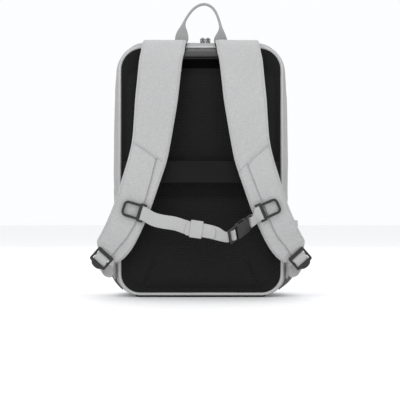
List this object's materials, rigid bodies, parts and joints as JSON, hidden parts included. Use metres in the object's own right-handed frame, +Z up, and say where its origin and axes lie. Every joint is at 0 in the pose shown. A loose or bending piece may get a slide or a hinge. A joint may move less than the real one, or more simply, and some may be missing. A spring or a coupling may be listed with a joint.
{
  "type": "laptop backpack",
  "caption": "Upright laptop backpack with padded shoulder straps, fastened sternum strap, padded mesh back panel, luggage band and carry handle.",
  "frame": {"origin": "centre of the flat base panel's underside", "axes": "+Z up along the backpack's height, -Y out of the back panel towards the wearer, +X to the right when the harness is looked at"},
  "size_m": [0.3902, 0.2382, 0.5269],
  "materials": {
    "grey_cloth": "plain weave, matt",
    "webbing": "ribbed webbing, matt",
    "black_mesh": "spacer mesh, matt",
    "black_cloth": "smooth cloth, satin",
    "pocket_mesh": "stretch mesh, matt",
    "base_cloth": "coated cloth, matt",
    "black_plastic": "moulded, satin",
    "zip_teeth": "coil zip",
    "zip_metal": "dark, satin"
  },
  "bodies": {
    "pack": {"base_panel": "base_cloth", "back_panel": "black_mesh", "edge_piping": "grey_cloth", "rear_gusset": "grey_cloth", "front_gusset": "grey_cloth", "front_panel": "grey_cloth", "main_zip": "zip_teeth", "luggage_band": "black_cloth", "zip_slider_left": "zip_metal", "shoulder_strap_left": "grey_cloth", "strap_lining_left": "black_mesh", "strap_overlay_left": "grey_cloth", "sternum_slider_left": "black_plastic", "sternum_webbing_left": "webbing", "ladder_lock_left": "black_plastic", "lower_webbing_left": "webbing", "anchor_tab_left": "webbing", "side_pocket_left": "grey_cloth", "pocket_mesh_left": "pocket_mesh", "zip_slider_right": "zip_metal", "shoulder_strap_right": "grey_cloth", "strap_lining_right": "black_mesh", "strap_overlay_right": "grey_cloth", "sternum_slider_right": "black_plastic", "sternum_webbing_right": "webbing", "ladder_lock_right": "black_plastic", "lower_webbing_right": "webbing", "anchor_tab_right": "webbing", "side_pocket_right": "grey_cloth", "pocket_mesh_right": "pocket_mesh", "sternum_tail": "webbing", "webbing_keeper": "webbing", "buckle_socket": "black_plastic", "buckle_plug": "black_plastic", "grab_handle": "webbing"},
    "pull_left": {"zip_pull_left": "zip_metal"},
    "pull_right": {"zip_pull_right": "zip_metal"}
  },
  "joints": [
    {"name": "pull_left_swing", "type": "hinge", "parent": "pack", "child": "pull_left", "pos_m": [0.0032, -0.03899, 0.46278], "axis": [1, 0, 0], "range_deg": [0, 170]},
    {"name": "pull_right_swing", "type": "hinge", "parent": "pack", "child": "pull_right", "pos_m": [0.0128, -0.03899, 0.46278], "axis": [1, 0, 0], "range_deg": [0, 170]}
  ]
}
